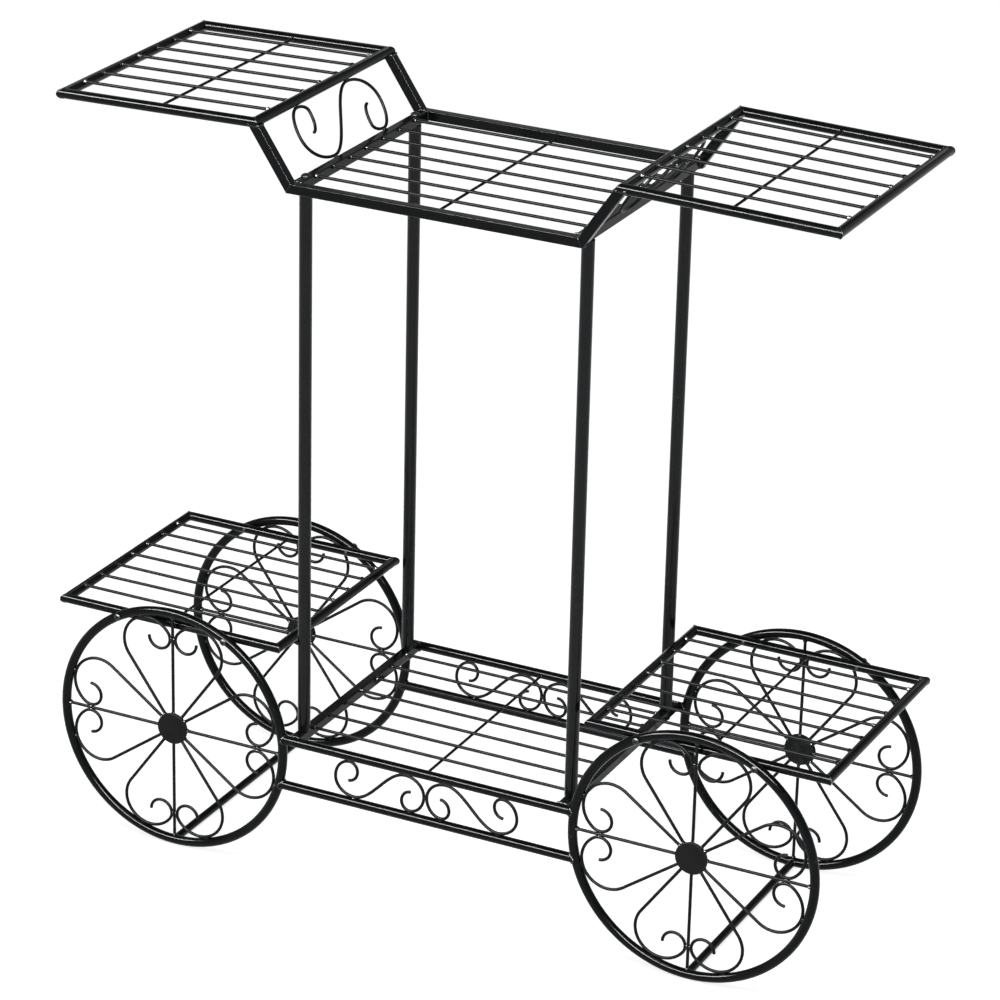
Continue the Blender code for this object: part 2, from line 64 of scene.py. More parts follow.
SIDES = {"left": -1, "right": 1}
FACES = {"front": -1, "back": 1}
TURN = 2 * math.pi
X, Y, Z = np.eye(3)

# Stock and cut edges. Neighbours sink into each other by SINK, and wear fades over EDGE_FADE.
TRAY_WIRE = 0.0032
CROSS_WIRE = 0.0028
SCROLL_WIRE = 0.0032
SQUARE_CORNER = 0.0011
CUT_EDGE = 0.0003
POST_EDGE = 0.0005
EDGE_FADE = 0.0005
SINK = 0.0004
SHARP_EDGE = math.radians(38)

# How many sides round shapes have, and the rings of coped tubes as shares of the half length.
TRAY_WIRE_SIDES = 14
WIRE_SIDES = 16
FRAME_SIDES = 32
POST_SIDES = 40
COPE_SIDES = 64
BOLT_SIDES = 56
BOSS_SIDES = 72
COVER_SIDES = 96
BEAD_SIDES = 10
SQUARE_BEAD_STEPS = 128
RIM_STEPS = 160
COPE_ROWS = np.array([-1, -0.97, 0, 0.97, 1])[:, None]

# Shapes of the top frame and the wire work.
SLOPE_RUN = 0.0388
SLOPE_RISE = 0.0573
WIRES_PER_TRAY = 7
WIRE_RISE = 0.0032
WIRE_WANDER = 0.0007
SCROLL_SEAT = 0.42 * SCROLL_WIRE
SCROLL_TOUCH = 0.45 * SCROLL_WIRE
WHEEL_SCROLL_LEG_ANGLE = math.radians(35.8)
WHEEL_SCROLL_HOOK_RADIUS = 0.0120
HUB_BOSS_DIAMETER = 0.0310

# S scrolls: crest, foot and the (along, up) places of hook and tip, as shares of half the size.
PANEL_SCROLL_LENGTH = 0.0985
PANEL_SCROLL = {"crest": 0.58, "foot": 0.68, "hook": (0.50, -0.48), "tip": (0.70, 0.10)}
SLOPE_SCROLL_LENGTH = 0.1560
SLOPE_SCROLL = {"crest": 0.51, "foot": 0.75, "hook": (0.54, -0.70), "tip": (0.68, 0.0)}

# Hub covers: rounded front edge, flat shoulder, dish, and the back's rows of (in, up, worn).
COVER_EDGE = 0.0006
COVER_SHOULDER = 0.0022
COVER_SHOULDER_RUN = 0.0006
COVER_DISH = 0.00008
COVER_BACK = ((0.0009, 0.0, 0), (0.0002, 0.0001, 1), (0.0, 0.0004, 1))

# Bolts: (head width, head height), and parts of the head as shares of its radius or height.
POST_BOLT = (0.0096, 0.0030)
RIM_BOLT = (0.0072, 0.0022)
SHANK_SHARE = 0.52
SHANK_BEVEL = 0.0004
UNDERCUT_SHARE = 0.96
LIP_SHARE = 0.22
DOME_POWER = 0.75
RECESS_REACH, RECESS_WIDTH, RECESS_DEPTH = 0.46, 0.13, 0.62
RECESS_SLOPE = 0.00018

# Weld beads: radius round frame joints, mitres and feet, and how the surface ripples.
FRAME_BEAD = 0.0012
MITRE_BEAD = 0.0005
FOOT_BEAD = 0.0006
JOINT_DEPTH = 0.0015
RIPPLE = 0.0024
RIPPLE_DEPTH = 0.11
SWELL_DEPTH = 0.12
SQUARENESS = 8
WELD_WEAR = 0.35

# Weld spots: (length along the wire, width across it), and how far they sit from a wire's end.
CROSS_WIRE_SPOT = (0.0040, 0.0042)
TRAY_WIRE_SPOT = (0.00621, 0.0046)
CROSSING_SPOT = (0.00506, 0.00207)
SCROLL_SPOT = (0.0046, 0.00391)
SPOKE_SPOT = (0.0046, 0.00506)
HUB_SPOT = (0.00506, 0.00437)
HOOK_SPOT = (0.00506, 0.00345)
HUB_SPOT_INSET = 0.0012
TRAY_SPOT_INSET = 0.0008
CROSS_WIRE_SPOT_INSET = 0.0006
LOBE_DEPTH = 0.09

# Camera, and the room around the cart: a pale floor, a sky that dims upwards and three lamps.
CAMERA_AIM = {"azimuth": 26.18, "elevation": 22.98, "roll": 1.35}
CAMERA_TARGET = Vector((0.0096, 0, 0.3933))
CAMERA_DISTANCE = 4.034
CAMERA_LENS = 148.5
CAMERA_SENSOR = 36
FLOOR_HALF = 9.0
FLOOR_WHITE = 0.80
FLOOR_GLOW = 0.80
SKY_EDGES = (0.02, 0.60)
SKY_LEVELS = (0.85, 0.14)
LAMP_TARGET = Vector((0, 0, 0.4))
LAMP_DISTANCE = 2.8
LAMPS = {
    "front_strip_left": {"azimuth": -31, "elevation": 35, "size": (2.6, 0.40), "power": 430},
    "front_strip_right": {"azimuth": 24, "elevation": 36, "size": (2.0, 0.40), "power": 340},
    "high_key": {"azimuth": 20, "elevation": 62, "size": (1.4, 1.4), "power": 30, "lights_floor": True},
}


# ---- Places ----------------------------------------------------------------------------------
def middle(node):
    """Middle of a frame node's box."""
    low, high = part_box(node)
    return (np.array(low) + np.array(high)) / 2


def extent(node):
    """Size of a frame node's box along X, Y and Z."""
    low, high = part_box(node)
    return np.array(high) - np.array(low)


BAR = extent("centre_cross_bar_left")[0]
CENTRE_Z = middle("centre_cross_bar_left")[2]
SIDE_Y = middle("side_member_back")[1]
POST_X = middle("post_right_front")[0]
RAIL_Y = middle("rail_back_upper")[1]
RAIL_TUBE = extent("rail_back_upper")[2]
RAIL_Z = {level: middle(f"rail_back_{level}")[2] for level in ("upper", "lower")}
WHEEL = middle("wheel_rim_right_back")
RIM_TUBE = extent("wheel_rim_right_back")[1]
RIM_RADIUS = (extent("wheel_rim_right_back")[0] - RIM_TUBE) / 2
RIM_INSIDE = RIM_RADIUS - RIM_TUBE / 2
STEP_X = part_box("upper_tray_frame_right")[0][0] + BAR / 2
STEP_Z = CENTRE_Z + SLOPE_RISE
BEND_X = STEP_X - SLOPE_RUN


# ---- Skins -----------------------------------------------------------------------------------
def unit(vectors):
    """Vectors divided by their own lengths."""
    return vectors / np.linalg.norm(vectors, axis=-1, keepdims=True)


def ring(diameter, sides=24):
    """Circle: half the diameter times (cosine, sine) of evenly spaced angles, with no worn edge."""
    angle = np.linspace(0, TURN, sides, endpoint=False)
    return np.stack([diameter / 2 * np.cos(angle), diameter / 2 * np.sin(angle), 0 * angle], axis=1)


def rounded_square(width, corner=SQUARE_CORNER, steps=5):
    """Square with a quarter circle at each corner, its centre the corner's radius in from both sides.

    Each row is (a, b, wear): one on the quarter circles, and zero on the flats between them.
    """
    angle = np.linspace(0, TURN / 4, steps)
    inset = width / 2 - corner
    flat = inset - EDGE_FADE
    arc = np.stack([inset + corner * np.cos(angle), inset + corner * np.sin(angle), 1 + 0 * angle], axis=1)
    side = np.concatenate([[[width / 2, -flat, 0], [width / 2, flat, 0]], arc])
    turned = [side]
    for _ in range(3):
        a, b, wear = turned[-1].T
        turned.append(np.stack([-b, a, wear], axis=1))
    return np.concatenate(turned)


def closed_skin(grid, loop, wear=0.0):
    """Quads (i, j), (i, j+1), (i+1, j+1), (i+1, j) of a grid whose rows are rings, and end faces.

    A looped grid's last ring joins its first; an open one has a flat face on its end rings. wear
    says how worn each point's finish is, from zero to one.
    """
    rows, columns = grid.shape[:2]
    i, j = np.meshgrid(np.arange(rows - 1 + loop), np.arange(columns), indexing="ij")
    down = (i + 1) % rows
    across = (j + 1) % columns
    corners = [i * columns + j, i * columns + across, down * columns + across, down * columns + j]
    faces = [np.stack(corners, axis=-1).reshape(-1, 4)]
    if not loop:
        first = np.arange(columns)[None]
        faces += [first[:, ::-1], first + (rows - 1) * columns]
    return grid.reshape(-1, 3), faces, (wear + np.zeros((rows, columns))).ravel()


def rod(path, normal, profile, loop=False, cuts=None, edge=CUT_EDGE):
    """Bar stock along a flat path, with normal square to the path's plane.

    Profile point (a, b) goes to path + draw * (a * side / cosine of half the turn + b * normal),
    which mitres every corner. A free end is drawn in by a quarter circle of the edge's radius.
    cuts gives the directions that the two end faces look along, for ends cut to meet a neighbour.
    """
    path = np.asarray(path, float)
    draw = np.ones(len(path))
    if loop:
        ahead = unit(np.roll(path, -1, axis=0) - path)
        behind = np.roll(ahead, 1, axis=0)
    else:
        if cuts is None:
            turn = np.linspace(0, TURN / 4, 4)[:, None]
            depth = edge * (1 - np.sin(turn))
            narrow = 1 - edge * (1 - np.cos(turn[:, 0])) / profile[:, 0].max()
            start = path[0] + depth[::-1] * unit(path[1] - path[0])
            end = path[-1] - depth * unit(path[-1] - path[-2])
            draw = np.concatenate([narrow[::-1], draw[2:], narrow])
            path = np.concatenate([start, path[1:-1], end])
        steps = unit(np.diff(path, axis=0))
        ahead = np.concatenate([steps, steps[-1:]])
        behind = np.concatenate([steps[:1], steps])
    along = unit(ahead + behind)
    if cuts is not None:
        along[0], along[-1] = unit(np.asarray(cuts, float))
    normal = unit(np.asarray(normal, float))
    side = np.cross(normal, along) / np.sum(along * ahead, axis=1, keepdims=True)
    grid = path[:, None] + draw[:, None, None] * (profile[None, :, :1] * side[:, None]
                                                  + profile[None, :, 1:2] * normal)
    return closed_skin(grid, loop, np.maximum(profile[None, :, 2], draw[:, None] < 1))


def spun(profile, centre, axis, sides=48, sink=None):
    """Profile of (radius, height, wear) rows, bottom to top, spun about an axis through the centre.

    A point is centre + radius * (cosine * first + sine * second) + height * axis, with first any
    direction square to the axis. sink lowers the top by a function of the two places across it.
    """
    axis = unit(np.asarray(axis, float))
    first = unit(np.cross(axis, X + Z * 0.5))
    second = np.cross(axis, first)
    profile = np.asarray(profile, float)
    angle = np.linspace(0, TURN, sides, endpoint=False)
    a = profile[:, :1] * np.cos(angle)
    b = profile[:, :1] * np.sin(angle)
    height = profile[:, 1:2] + np.zeros_like(a)
    if sink is not None:
        height = height - sink(a, b) * (height > 0)
    grid = centre + a[..., None] * first + b[..., None] * second + height[..., None] * axis
    return closed_skin(grid, False, profile[:, 2:])


def weld(seam, out, size):
    """Weld bead: circles around a closed seam, each in the plane of out and square to the seam.

    The radius is size * (1 + ripple depth * cosine of the distance over the ripple's pitch + swell
    depth * sine of three turns of the seam), and the swell starts elsewhere on every seam.
    """
    ahead = np.roll(seam, -1, axis=0) - seam
    length = np.linalg.norm(ahead, axis=1)
    distance = np.cumsum(length) - length
    turn = TURN * distance / length.sum()
    ripples = max(5, round(length.sum() / RIPPLE))
    swell = np.sin(3 * turn + 50 * seam[0, 0])
    radius = size * (1 + RIPPLE_DEPTH * np.cos(ripples * turn) + SWELL_DEPTH * swell)
    out = unit(out + np.zeros_like(seam))
    square = unit(np.cross(ahead, out))
    angle = np.linspace(0, TURN, BEAD_SIDES, endpoint=False)[None, :, None]
    grid = seam[:, None] + radius[:, None, None] * (np.cos(angle) * out[:, None]
                                                    + np.sin(angle) * square[:, None])
    return closed_skin(grid, True, WELD_WEAR)


def square_weld(centre, first, second, size):
    """Weld all round square stock, where first and second reach to the middles of two of its sides.

    The seam is first times cosine plus second times sine of an even angle, divided by the eighth
    root of their eighth powers' sum, which squares the circle and rounds its corners.
    """
    angle = np.linspace(0, TURN, SQUARE_BEAD_STEPS, endpoint=False)[:, None]
    reach = (np.cos(angle) ** SQUARENESS + np.sin(angle) ** SQUARENESS) ** (1 / SQUARENESS)
    out = (first * np.cos(angle) + second * np.sin(angle)) / reach
    return weld(centre + out, out, size)


def blob(centre, along, length, width, lean=0.0):
    """Weld spot: an ellipsoid, length long along the wire and width across, with three soft lobes.

    Its half width is multiplied by 1 + lobe depth * cosine of (three times the angle round + lean).
    lean differs from spot to spot, so that neighbours don't look alike.
    """
    along = unit(np.asarray(along, float))
    first = unit(np.cross(along, X * 0.3 + Y * 0.2 + Z))
    second = np.cross(along, first)
    tilt = np.radians(np.linspace(165, 15, 6))[:, None]
    angle = np.linspace(0, TURN, BEAD_SIDES, endpoint=False)[None]
    lobes = 1 + LOBE_DEPTH * np.cos(3 * angle + lean) * np.sin(tilt)
    across = width / 2 * np.sin(tilt) * lobes
    grid = (centre + (length / 2 * np.cos(tilt) * np.ones_like(angle))[..., None] * along
            + (across * np.cos(angle))[..., None] * first
            + (across * np.sin(angle))[..., None] * second)
    return closed_skin(grid, False, WELD_WEAR)


def line(start, end, points=2):
    """Evenly spaced points on the straight line from start to end."""
    share = np.linspace(0, 1, points)[:, None]
    return np.asarray(start) * (1 - share) + np.asarray(end) * share


# ---- Finishes --------------------------------------------------------------------------------
class Finish:
    """A node material in the making: each method adds a node and returns its output."""

    def __init__(self, name, **settings):
        """Principled shader with some of its sockets set, and the piece's own coordinates."""
        self.material = bpy.data.materials.new(name)
        self.material.use_nodes = True
        self.tree = self.material.node_tree
        self.shader = self.tree.nodes["Principled BSDF"]
        for socket, value in settings.items():
            self.shader.inputs[socket.replace("_", " ")].default_value = value
        self.place = self.node("ShaderNodeTexCoord").outputs["Object"]

    def node(self, kind, **settings):
        """New node of a kind, with its own properties set."""
        made = self.tree.nodes.new(kind)
        for name, value in settings.items():
            setattr(made, name, value)
        return made

    def link(self, output, socket):
        """Join an output to an input."""
        self.tree.links.new(output, socket)

    def noise(self, scale, detail=3.0):
        """Smooth noise in space, scale cycles to the metre, with detail finer octaves."""
        made = self.node("ShaderNodeTexNoise")
        made.inputs["Scale"].default_value = scale
        made.inputs["Detail"].default_value = detail
        self.link(self.place, made.inputs["Vector"])
        return made.outputs["Fac"]

    def ramp(self, value, low, high, start=0.0, end=1.0):
        """Value mapped from (low, high) to (start, end), held at both ends."""
        made = self.node("ShaderNodeMapRange")
        for socket, number in zip(("From Min", "From Max", "To Min", "To Max"),
                                  (low, high, start, end)):
            made.inputs[socket].default_value = number
        self.link(value, made.inputs["Value"])
        return made.outputs["Result"]

    def times(self, first, second):
        """Product of two values."""
        made = self.node("ShaderNodeMath", operation="MULTIPLY")
        self.link(first, made.inputs[0])
        self.link(second, made.inputs[1])
        return made.outputs["Value"]

    def mixed(self, share, first, second):
        """Colour first where share is 0 and second where it is 1."""
        made = self.node("ShaderNodeMix", data_type="RGBA")
        self.link(share, made.inputs["Factor"])
        for socket, colour in ((made.inputs[6], first), (made.inputs[7], second)):
            if isinstance(colour, tuple):
                socket.default_value = (*colour, 1.0)
            else:
                self.link(colour, socket)
        return made.outputs[2]

    def wear(self):
        """How worn the mesh's own attribute says each place is."""
        return self.node("ShaderNodeAttribute", attribute_name="wear").outputs["Fac"]

    def facing_up(self):
        """Cosine of the angle between the surface's normal and straight up."""
        normal = self.node("ShaderNodeNewGeometry").outputs["Normal"]
        parts = self.node("ShaderNodeSeparateXYZ")
        self.link(normal, parts.inputs[0])
        return parts.outputs["Z"]

    def bump(self, height, distance, before=None):
        """Normal tilted by the slope of a height of up to distance, on top of an earlier bump."""
        made = self.node("ShaderNodeBump")
        made.inputs["Distance"].default_value = distance
        self.link(height, made.inputs["Height"])
        if before is not None:
            self.link(before, made.inputs["Normal"])
        return made.outputs["Normal"]


def enamel(name, colour, worn, dust, gloss, peel, shine):
    """Stoved black enamel: orange peel, a gloss that drifts, and thin dust on what faces up.

    Its colour drifts a little between two blacks, and it is greyer in small rubbed spots and along
    worn edges and welds. gloss is the range that its roughness drifts over, peel the height of the
    fine orange peel, with a longer one twice as high, and shine the strength of its reflections.
    """
    made = Finish(name, Specular_IOR_Level=shine)
    drift = made.ramp(made.noise(28.0), 0.35, 0.65)
    rubbed = made.times(made.ramp(made.noise(210.0, 5.0), 0.62, 0.72),
                        made.ramp(made.noise(19.0), 0.50, 0.60))
    edges = made.times(made.wear(), made.ramp(made.noise(160.0, 5.0), 0.44, 0.66, 0.0, 0.8))
    settled = made.times(made.ramp(made.facing_up(), 0.45, 1.0),
                         made.ramp(made.noise(75.0, 6.0), 0.40, 0.85, 0.0, 0.25))
    black = made.mixed(drift, colour, tuple(1.35 * part for part in colour))
    black = made.mixed(rubbed, black, worn)
    black = made.mixed(edges, black, worn)
    black = made.mixed(settled, black, dust)
    made.link(black, made.shader.inputs["Base Color"])
    made.link(made.ramp(made.noise(52.0, 4.0), 0.30, 0.70, *gloss), made.shader.inputs["Roughness"])
    skin = made.bump(made.noise(430.0, 2.0), peel)
    skin = made.bump(made.noise(95.0, 2.0), 2.0 * peel, skin)
    made.link(skin, made.shader.inputs["Normal"])
    return made.material


def black_oxide(name):
    """Blackened steel: metal with a fine grain in its colour, its gloss and its surface."""
    made = Finish(name, Metallic=0.65)
    grain = made.noise(900.0, 4.0)
    speckled = made.mixed(grain, (0.012, 0.012, 0.014), (0.045, 0.045, 0.050))
    made.link(speckled, made.shader.inputs["Base Color"])
    made.link(made.ramp(grain, 0.3, 0.7, 0.28, 0.44), made.shader.inputs["Roughness"])
    made.link(made.bump(grain, 0.00003), made.shader.inputs["Normal"])
    return made.material


BLACK = (0.0030, 0.0040, 0.0046)
RUBBED_GREY = (0.020, 0.021, 0.022)
DUST_GREY = (0.036, 0.037, 0.036)
TUBE_ENAMEL = enamel("gloss_black_enamel", BLACK, RUBBED_GREY, DUST_GREY,
                     gloss=(0.10, 0.22), peel=0.00004, shine=0.085)
POST_ENAMEL = enamel("post_black_enamel", BLACK, RUBBED_GREY, DUST_GREY,
                     gloss=(0.10, 0.22), peel=0.00004, shine=0.18)
WIRE_ENAMEL = enamel("wire_black_enamel", (0.0030, 0.0038, 0.0044), RUBBED_GREY, (0.032, 0.033, 0.032),
                     gloss=(0.36, 0.52), peel=0.00003, shine=0.08)
WELD_ENAMEL = enamel("weld_black_enamel", (0.0034, 0.0042, 0.0048), (0.024, 0.025, 0.026),
                     (0.034, 0.035, 0.034), gloss=(0.07, 0.16), peel=0.00012, shine=0.30)
HUB_ENAMEL = enamel("satin_black_enamel", (0.0030, 0.0031, 0.0033), (0.020, 0.020, 0.020),
                    (0.028, 0.028, 0.027), gloss=(0.42, 0.58), peel=0.00006, shine=0.085)
BOLT_BLACK = black_oxide("black_oxide_steel")


def add_piece(name, skins, finish, *nodes):
    """One smooth-shaded mesh from several skins, which stands for the nodes named.

    Nothing stands proud of the whole cart's box: a weld there is dressed flush.
    """
    corners = []
    sizes = []
    offset = 0
    for points, faces, _ in skins:
        for block in faces:
            corners.append((block + offset).ravel())
            sizes.append(np.full(len(block), block.shape[1]))
        offset += len(points)
    corners = np.concatenate(corners)
    sizes = np.concatenate(sizes)
    mesh = bpy.data.meshes.new(name)
    mesh.vertices.add(offset)
    points = np.clip(np.concatenate([skin[0] for skin in skins]), *CAD_BOX)
    mesh.vertices.foreach_set("co", points.ravel())
    mesh.loops.add(len(corners))
    mesh.loops.foreach_set("vertex_index", corners)
    mesh.polygons.add(len(sizes))
    mesh.polygons.foreach_set("loop_start", np.cumsum(sizes) - sizes)
    mesh.update(calc_edges=True)
    mesh.attributes.new("wear", "FLOAT", "POINT")
    mesh.attributes["wear"].data.foreach_set("value", np.concatenate([skin[2] for skin in skins]))
    mesh.shade_smooth()
    mesh.set_sharp_from_angle(angle=SHARP_EDGE)
    mesh.materials.append(finish)
    piece = bpy.data.objects.new(name, mesh)
    bpy.context.scene.collection.objects.link(piece)
    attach(piece, "root")
    if nodes:
        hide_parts(*nodes)
    return piece


# ---- Trays -----------------------------------------------------------------------------------
def tray_wires(name, node, bars, bar_y, meets, height):
    """Seven wires along X and one cross wire under their middles, with a weld at every end.

    bars are the axes of the two end bars, and meets how far inside a bar's axis a tray wire and
    the cross wire end. Each wire wanders sideways by a half sine, a little more or less than its
    neighbour. height gives the frame's axis at each x.
    """
    low, high = min(bars) + meets[0], max(bars) - meets[0]
    half_y = bar_y - meets[1]
    middle_x = (low + high) / 2
    cross_z = height(middle_x) + WIRE_RISE - (TRAY_WIRE + CROSS_WIRE) / 2 + SINK
    wires = [rod(line((middle_x, -half_y, cross_z), (middle_x, half_y, cross_z)), X,
                 ring(CROSS_WIRE, TRAY_WIRE_SIDES))]
    cross_end = half_y - CROSS_WIRE_SPOT_INSET
    spots = [blob((middle_x, way * cross_end, cross_z), Y, *CROSS_WIRE_SPOT, way) for way in FACES.values()]
    share = np.linspace(0, 1, 13)
    for index in range(1, WIRES_PER_TRAY + 1):
        y = bar_y * (2 * index / (WIRES_PER_TRAY + 1) - 1)
        wander = WIRE_WANDER * math.sin(2.7 * index + 90 * high)
        path = np.stack([low + (high - low) * share, y + wander * np.sin(math.pi * share),
                         height(low) + WIRE_RISE + (height(high) - height(low)) * share], axis=1)
        wires.append(rod(path, Z, ring(TRAY_WIRE, TRAY_WIRE_SIDES)))
        for end, inward in ((path[0], 1), (path[-1], -1)):
            spots.append(blob(end + X * inward * TRAY_SPOT_INSET, X, *TRAY_WIRE_SPOT, index))
        crossing = path[len(path) // 2] - Z * TRAY_WIRE * 0.55
        spots.append(blob(crossing, Y, *CROSSING_SPOT, 2 * index))
    add_piece(name + "_wires", wires, WIRE_ENAMEL, node)
    add_piece(name + "_wire_welds", spots, WELD_ENAMEL)


def tray_frame(name, node, corners, tube):
    """Round tube mitred at four corners, with a low dressed bead along each mitre."""
    corners = np.asarray(corners, float)
    normal = unit(np.cross(corners[1] - corners[0], corners[2] - corners[1]))
    skin = rod(corners, normal, ring(tube, FRAME_SIDES), loop=True)
    add_piece(name + "_frame", [skin], TUBE_ENAMEL, node)
    seams = skin[0].reshape(4, -1, 3)
    beads = [weld(seam, seam - corner, MITRE_BEAD) for seam, corner in zip(seams, corners)]
    add_piece(name + "_mitre_welds", beads, WELD_ENAMEL)


def rectangle(low_x, high_x, half_y, low_z, high_z):
    """Corners of a tray's axis, in order round it, with its height following x."""
    return [(high_x, half_y, high_z), (low_x, half_y, low_z), (low_x, -half_y, low_z),
            (high_x, -half_y, high_z)]


def chord(tube, rise):
    """Half a round tube's width at a rise above its axis: root of radius squared less rise squared."""
    return math.sqrt((tube / 2) ** 2 - rise ** 2)


def wire_meets(tube):
    """How far inside a round bar's axis a tray wire and the cross wire end, sunk into its surface."""
    cross_rise = WIRE_RISE - (TRAY_WIRE + CROSS_WIRE) / 2
    return chord(tube, WIRE_RISE) - SINK, chord(tube, cross_rise) - SINK


def upper_tray(side):
    """Tray on top of a slope, its height a straight line in x that falls a little outwards."""
    node = f"upper_tray_frame_{side}"
    low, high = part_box(node)
    radius = BAR / 2
    inner, outer = sorted((low[0] + radius, high[0] - radius), key=abs)
    inner_z, outer_z = high[2] - radius, low[2] + radius

    def height(x):
        """Height of the tray's axis: a straight line from the inner bar's to the outer bar's."""
        return inner_z + (outer_z - inner_z) * (x - inner) / (outer - inner)

    ends = sorted((inner, outer))
    corners = rectangle(*ends, SIDE_Y, height(ends[0]), height(ends[1]))
    tray_frame(f"upper_tray_{side}", node, corners, BAR)
    tray_wires(f"upper_tray_{side}", f"upper_tray_grid_{side}", ends, SIDE_Y, wire_meets(BAR), height)


def side_tray(side):
    """Level tray between two wheels, its frame against the insides of their rims."""
    node = f"side_tray_frame_{side}"
    low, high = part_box(node)
    tube = high[2] - low[2]
    z = (low[2] + high[2]) / 2
    ends = (low[0] + tube / 2, high[0] - tube / 2)
    half_y = WHEEL[1] - RIM_TUBE / 2 - tube / 2
    tray_frame(f"side_tray_{side}", node, rectangle(*ends, half_y, z, z), tube)
    tray_wires(f"side_tray_{side}", f"side_tray_grid_{side}", ends, half_y, wire_meets(tube), lambda x: z)


# ---- Top frame -------------------------------------------------------------------------------
def side_member(face):
    """Square tube down one slope, level along the centre tray and up the other slope.

    Its bends are mitred, and its upper ends are cut level where they meet the upper trays.
    """
    y = FACES[face] * SIDE_Y
    node = f"side_member_{face}"
    top_z = STEP_Z - JOINT_DEPTH
    top_x = BEND_X + (top_z - CENTRE_Z) * SLOPE_RUN / SLOPE_RISE
    path = [(-top_x, y, top_z), (-BEND_X, y, CENTRE_Z), (BEND_X, y, CENTRE_Z), (top_x, y, top_z)]
    add_piece(f"side_bar_{face}", [rod(path, Y, rounded_square(BAR), cuts=(-Z, Z))], TUBE_ENAMEL, node)
    half = BAR / 2
    steepness = math.atan2(SLOPE_RISE, SLOPE_RUN)
    welds = []
    for sign in SIDES.values():
        mitre = Z - sign * X * math.tan(steepness / 2)
        welds.append(square_weld(np.array([sign * BEND_X, y, CENTRE_Z]), half * mitre, half * Y, MITRE_BEAD))
        welds.append(square_weld(np.array([sign * top_x, y, top_z - SINK]), half / math.sin(steepness) * X,
                                 half * Y, FRAME_BEAD))
    add_piece(f"side_bar_welds_{face}", welds, WELD_ENAMEL)


def cross_bar(node, z, half_y, name):
    """Square bar between the two sides, welded all round at both ends."""
    x = middle(node)[0]
    half = BAR / 2
    path = line((x, -half_y, z), (x, half_y, z), 3)
    add_piece(name, [rod(path, Z, rounded_square(BAR), cuts=(Y, Y))], TUBE_ENAMEL, node)
    welds = [square_weld(np.array([x, way * (half_y - SINK), z]), half * X, half * Z, FRAME_BEAD)
             for way in FACES.values()]
    add_piece(name + "_welds", welds, WELD_ENAMEL)


def centre_tray():
    """Two side members, the cross bars over the posts, and the wires between the cross bars."""
    inside = SIDE_Y - BAR / 2
    for face in FACES:
        side_member(face)
    for side in SIDES:
        cross_bar(f"centre_cross_bar_{side}", CENTRE_Z, inside + SINK, f"centre_bar_{side}")
    meets = (BAR / 2 - SINK, BAR / 2 - SINK)
    tray_wires("centre_tray", "centre_tray_grid", (-POST_X, POST_X), SIDE_Y, meets, lambda x: CENTRE_Z)


# ---- Scrolls ---------------------------------------------------------------------------------
def quarter(start, end, leaves_along_first, steps=14):
    """Quarter of an ellipse from start to end, leaving along one axis and arriving along the other."""
    turn = np.linspace(0, TURN / 4, steps)[1:]
    rising, falling = np.sin(turn), np.cos(turn)
    if leaves_along_first:
        return np.stack([start[0] + (end[0] - start[0]) * rising,
                         end[1] + (start[1] - end[1]) * falling], axis=1)
    return np.stack([end[0] + (start[0] - end[0]) * falling,
                     start[1] + (end[1] - start[1]) * rising], axis=1)


def s_scroll(length, height, crest, foot, hook, tip):
    """An S scroll: a sine up to the crest, quarter ellipses round the end and in to the tip.

    Places are shares of half the length and half the height, and the other half is the same
    turned half round.
    """
    a, h = length / 2, height / 2
    share = np.linspace(0, 1, 24)[1:, None]
    swing = np.concatenate([a * crest * share, h * np.sin(TURN / 4 * share)], axis=1)
    end, low = (a, 0.0), (a * foot, -h)
    inner, last = (a * hook[0], h * hook[1]), (a * tip[0], h * tip[1])
    half = np.concatenate([swing, quarter(swing[-1], end, True), quarter(end, low, False),
                           quarter(low, inner, True), quarter(inner, last, False, 10)])
    return np.concatenate([-half[::-1], [[0.0, 0.0]], half])


def scroll_contacts(length, height, shape):
    """Where a scroll meets what is above and below it: at its crests and at its feet."""
    crest, foot = shape["crest"] * length / 2, shape["foot"] * length / 2
    touch = height / 2 + SCROLL_TOUCH
    return [(crest, touch), (-foot, touch), (-crest, -touch), (foot, -touch)]


def scroll_piece(name, node, flat, origin, across, up, contacts):
    """Wire along a flat scroll, laid in the plane of across and up, with a weld at each contact."""
    path = origin + flat[:, :1] * across + flat[:, 1:] * up
    skin = rod(path, np.cross(across, up), ring(SCROLL_WIRE, WIRE_SIDES))
    add_piece(name, [skin], WIRE_ENAMEL, node)
    spots = [blob(origin + a * across + b * up, across, *SCROLL_SPOT, a * 900) for a, b in contacts]
    add_piece(name + "_welds", spots, WELD_ENAMEL)


def slope_scroll(side):
    """S scroll between the centre tray's cross bar and the upper tray, in the slope's plane."""
    sign = SIDES[side]
    low = np.array([sign * BEND_X, 0, CENTRE_Z])
    high = np.array([sign * STEP_X, 0, STEP_Z])
    uphill = unit(high - low)
    whole = np.linalg.norm(high - low)
    foot = (POST_X + BAR / 2 - BEND_X) * abs(uphill[0]) + BAR / 2 * uphill[2] + SCROLL_SEAT
    head = whole - BAR / 2 - SCROLL_WIRE / 2 + SINK / 2
    height = head - foot
    flat = s_scroll(SLOPE_SCROLL_LENGTH, height, **SLOPE_SCROLL)
    contacts = scroll_contacts(SLOPE_SCROLL_LENGTH, height, SLOPE_SCROLL)
    scroll_piece(f"slope_s_{side}", f"slope_scroll_{side}", flat, low + uphill * (foot + head) / 2, Y,
                 uphill, contacts)


